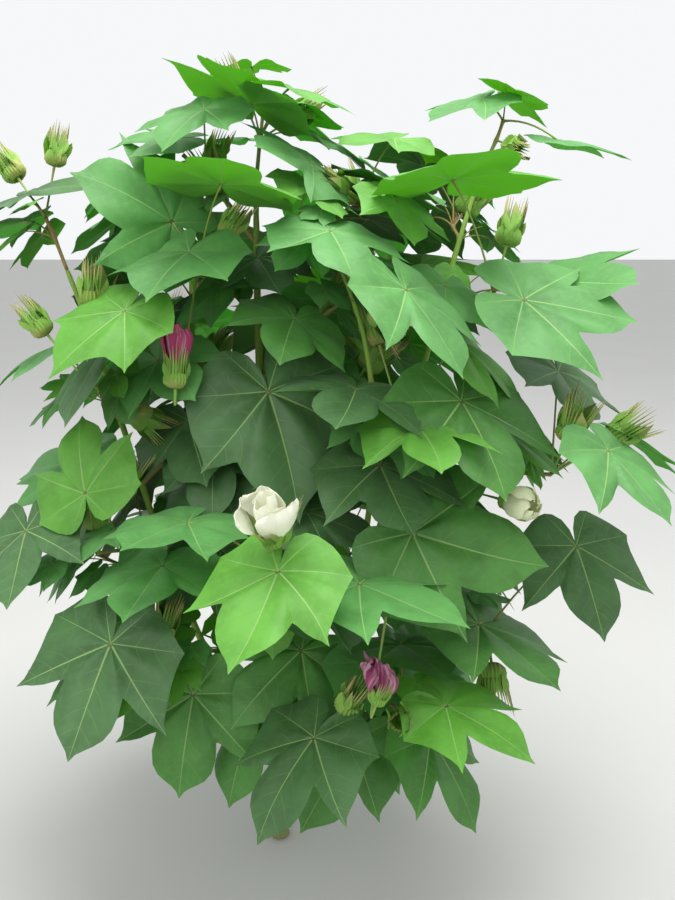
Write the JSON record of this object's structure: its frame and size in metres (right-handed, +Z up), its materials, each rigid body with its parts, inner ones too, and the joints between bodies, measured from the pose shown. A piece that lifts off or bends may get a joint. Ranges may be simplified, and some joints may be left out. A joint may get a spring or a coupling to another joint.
{
  "type": "cotton plant",
  "caption": "Bushy upland cotton plant in bloom, rooted in the ground: an upright tapering stem, slender boughs and masses of lobed leaves with buds, bolls and blooms.",
  "frame": {"origin": "centre of the flat cut under the main stem, at ground level", "axes": "+Z up along the foot of the main stem, -Y towards the side that the picture shows, +X to the right as seen from there"},
  "size_m": [0.8238, 0.7634, 0.9864],
  "materials": {
    "stem_bark": "matte",
    "bough_bark": "matte",
    "foliage": "matte",
    "petals": "matte",
    "fruit": "satin"
  },
  "bodies": {
    "root": {"main_stem": "stem_bark", "right_bough": "bough_bark", "middle_bough": "bough_bark", "left_bough": "bough_bark", "back_left_bough": "bough_bark", "back_right_bough": "bough_bark", "foliage_back_left_1": "foliage", "foliage_back_left_2": "foliage", "foliage_back_left_3": "foliage", "foliage_back_left_4": "foliage", "foliage_back_left_5": "foliage", "foliage_back_left_6": "foliage", "foliage_back_right_1": "foliage", "foliage_back_right_2": "foliage", "foliage_back_right_3": "foliage", "foliage_back_right_4": "foliage", "foliage_back_right_5": "foliage", "foliage_back_right_6": "foliage", "foliage_front_bloom": "foliage", "foliage_front_centre": "foliage", "foliage_front_right": "foliage", "foliage_left_1": "foliage", "foliage_left_2": "foliage", "foliage_left_3": "foliage", "foliage_left_middle": "foliage", "foliage_left_top": "foliage", "foliage_left_upper": "foliage", "foliage_low_front": "foliage", "foliage_low_left": "foliage", "foliage_low_right": "foliage", "foliage_main_1": "foliage", "foliage_main_2": "foliage", "foliage_main_3": "foliage", "foliage_main_4": "foliage", "foliage_main_5": "foliage", "foliage_middle_side": "foliage", "foliage_middle_top": "foliage", "foliage_right_1": "foliage", "foliage_right_2": "foliage", "foliage_right_3": "foliage", "foliage_right_low": "foliage", "foliage_right_middle": "foliage", "foliage_right_top": "foliage", "foliage_right_upper": "foliage", "foliage_top": "foliage", "foliage_upper_left": "foliage", "foliage_upper_right": "foliage"}
  },
  "joints": []
}
